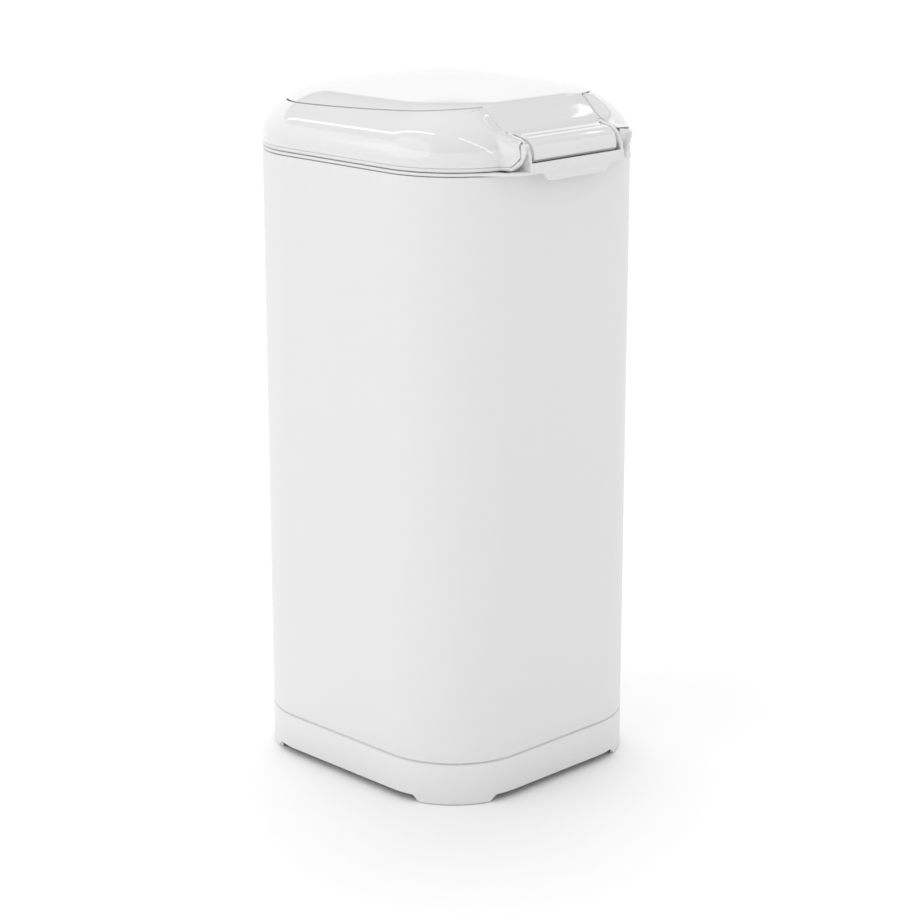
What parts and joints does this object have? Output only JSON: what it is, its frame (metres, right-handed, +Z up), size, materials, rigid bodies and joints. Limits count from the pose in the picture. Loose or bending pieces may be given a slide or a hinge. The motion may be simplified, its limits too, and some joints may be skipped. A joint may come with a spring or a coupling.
{
  "type": "nappy bin",
  "caption": "Tall rounded-rectangular nappy bin with a foot pedal, a domed gloss lid hinged at the rear, and a film cassette over spring-loaded trap flaps.",
  "frame": {"origin": "on the floor under the middle of the bin's overall box", "axes": "+X to the side, +Y to the rear where the lid hinge is, -Y to the front where the pedal is, +Z up"},
  "size_m": [0.246, 0.2999, 0.5845],
  "materials": {
    "satin_plastic": "satin white moulding",
    "white_steel": "satin white powder coat on sheet steel",
    "foot_rubber": "matt dark grey rubber",
    "bright_steel": "plain zinc-bright steel",
    "spring_steel": "drawn spring wire",
    "natural_plastic": "natural bearing plastic",
    "seal_rubber": "soft pale grey sealing rubber",
    "inner_plastic": "pale grey moulding",
    "cassette_plastic": "pale blue moulding",
    "film": "pleated odour film",
    "gloss_white": "high gloss white"
  },
  "bodies": {
    "casing": {"base_plinth": "satin_plastic", "body_shell": "white_steel", "rubber_feet": "foot_rubber", "base_screws": "bright_steel", "pedal_pivot_pin": "bright_steel", "pedal_spring": "spring_steel", "rod_guides": "natural_plastic", "guide_rivets": "bright_steel"},
    "pedal": {"pedal_lever": "bright_steel", "pedal_pad": "satin_plastic"},
    "lift_rod": {"push_rod": "bright_steel", "rod_foot": "natural_plastic", "rod_head": "natural_plastic"},
    "head": {"collar": "satin_plastic", "body_seal": "seal_rubber", "cassette_seat": "inner_plastic", "seat_screws": "bright_steel", "throat_seal": "seal_rubber", "flap_pins": "bright_steel", "hinge_pins": "bright_steel", "cassette_case": "cassette_plastic", "cassette_cap": "cassette_plastic", "film_pack": "film"},
    "right_flap": {"flap_right": "inner_plastic", "flap_spring_right": "spring_steel"},
    "left_flap": {"flap_left": "inner_plastic", "flap_spring_left": "spring_steel"},
    "lid": {"lid_pan": "satin_plastic", "lid_skirt": "gloss_white", "lid_top_cover": "gloss_white", "lid_gasket": "seal_rubber", "lid_screws": "bright_steel"}
  },
  "joints": [
    {"name": "head_lift", "type": "slide", "parent": "casing", "child": "head", "axis": [0, 0, 1], "range_m": [0, 0.125]},
    {"name": "lid_hinge", "type": "hinge", "parent": "head", "child": "lid", "pos_m": [0, 0.13, 0.542], "axis": [-1, 0, 0], "range_deg": [0, 78]},
    {"name": "pedal_hinge", "type": "hinge", "parent": "casing", "child": "pedal", "pos_m": [0, -0.02, 0.019], "axis": [1, 0, 0], "range_deg": [0, 9.55], "stiffness_Nm_per_rad": 0.5, "springref_deg": -14.32, "deforming": ["pedal_spring"]},
    {"name": "rod_slide", "type": "slide", "parent": "casing", "child": "lift_rod", "axis": [0, 0, 1], "range_m": [0, 0.02266]},
    {"name": "right_flap_hinge", "type": "hinge", "parent": "head", "child": "right_flap", "pos_m": [0.064, 0, 0.4473], "axis": [0, -1, 0], "range_deg": [0, 70], "stiffness_Nm_per_rad": 0.03, "springref_deg": -34.38},
    {"name": "left_flap_hinge", "type": "hinge", "parent": "head", "child": "left_flap", "pos_m": [-0.064, 0, 0.4473], "axis": [0, 1, 0], "range_deg": [0, 70], "stiffness_Nm_per_rad": 0.03, "springref_deg": -34.38}
  ],
  "couplings": [
    {"joint": "pedal_hinge", "follows": "lid_hinge", "ratio": 0.1225},
    {"joint": "rod_slide", "follows": "lid_hinge", "m_per_rad": 0.016642}
  ]
}
